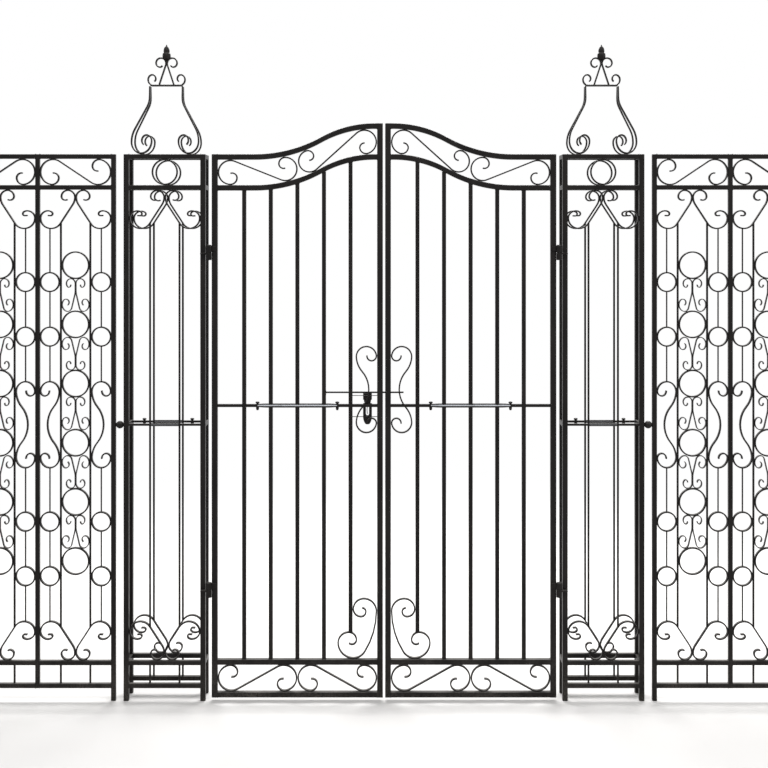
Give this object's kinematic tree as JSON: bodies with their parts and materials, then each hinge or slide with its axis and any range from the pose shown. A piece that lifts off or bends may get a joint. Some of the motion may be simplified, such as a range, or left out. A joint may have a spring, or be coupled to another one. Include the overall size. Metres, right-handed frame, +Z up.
{
  "type": "wrought iron double gate with scroll piers",
  "caption": "Double wrought iron gate with curved top rails and a slide bolt, hung between open scroll piers with lyre tops, and a scroll fence bay on each side.",
  "frame": {"origin": "centre of the bottom face of the left pier's front post, beside the gate", "axes": "+X across the gate to the right as seen from the front, +Y from the front to the rear, +Z up"},
  "size_m": [2.97, 0.112, 2.299],
  "materials": {
    "black_paint": "satin black paint on forged iron, a little dusty and worn at the edges",
    "bolt_iron": "black paint rubbed thin where the bolt slides and is held"
  },
  "bodies": {
    "standing_work": {"left_pier_front_frame": "black_paint", "left_pier_rear_frame": "black_paint", "left_pier_ties": "black_paint", "left_pier_bars": "black_paint", "left_pier_rings": "black_paint", "left_pier_scrolls": "black_paint", "left_pier_lyres": "black_paint", "left_pier_crest": "black_paint", "left_pier_hinge_pins": "black_paint", "left_fence_panel": "black_paint", "left_coupling": "black_paint", "right_pier_front_frame": "black_paint", "right_pier_rear_frame": "black_paint", "right_pier_ties": "black_paint", "right_pier_bars": "black_paint", "right_pier_rings": "black_paint", "right_pier_scrolls": "black_paint", "right_pier_lyres": "black_paint", "right_pier_crest": "black_paint", "right_pier_hinge_pins": "black_paint", "right_fence_panel": "black_paint", "right_coupling": "black_paint"},
    "left_leaf": {"left_leaf_stiles": "black_paint", "left_leaf_rails": "black_paint", "left_leaf_bars": "black_paint", "left_leaf_mid_rail": "black_paint", "left_leaf_crest_scrolls": "black_paint", "left_leaf_foot_scrolls": "black_paint", "left_leaf_lock_scroll": "black_paint", "left_leaf_corner_scroll": "black_paint", "left_leaf_knuckles": "black_paint", "left_leaf_lock_stays": "bolt_iron", "left_leaf_bolt_guides": "black_paint"},
    "right_leaf": {"right_leaf_stiles": "black_paint", "right_leaf_rails": "black_paint", "right_leaf_bars": "black_paint", "right_leaf_mid_rail": "black_paint", "right_leaf_crest_scrolls": "black_paint", "right_leaf_foot_scrolls": "black_paint", "right_leaf_lock_scroll": "black_paint", "right_leaf_corner_scroll": "black_paint", "right_leaf_knuckles": "black_paint", "right_leaf_keeper": "black_paint"},
    "bolt": {"bolt_rod": "bolt_iron", "bolt_handle": "bolt_iron"}
  },
  "joints": [
    {"name": "left_leaf_swing", "type": "hinge", "parent": "standing_work", "child": "left_leaf", "pos_m": [0.022, -0.017, 0.391], "axis": [0, 0, -1], "range_deg": [0, 90]},
    {"name": "right_leaf_swing", "type": "hinge", "parent": "standing_work", "child": "right_leaf", "pos_m": [1.244, -0.017, 0.391], "axis": [0, 0, 1], "range_deg": [0, 90]},
    {"name": "bolt_slide", "type": "slide", "parent": "left_leaf", "child": "bolt", "axis": [1, 0, 0], "range_m": [-0.075, 0]}
  ]
}
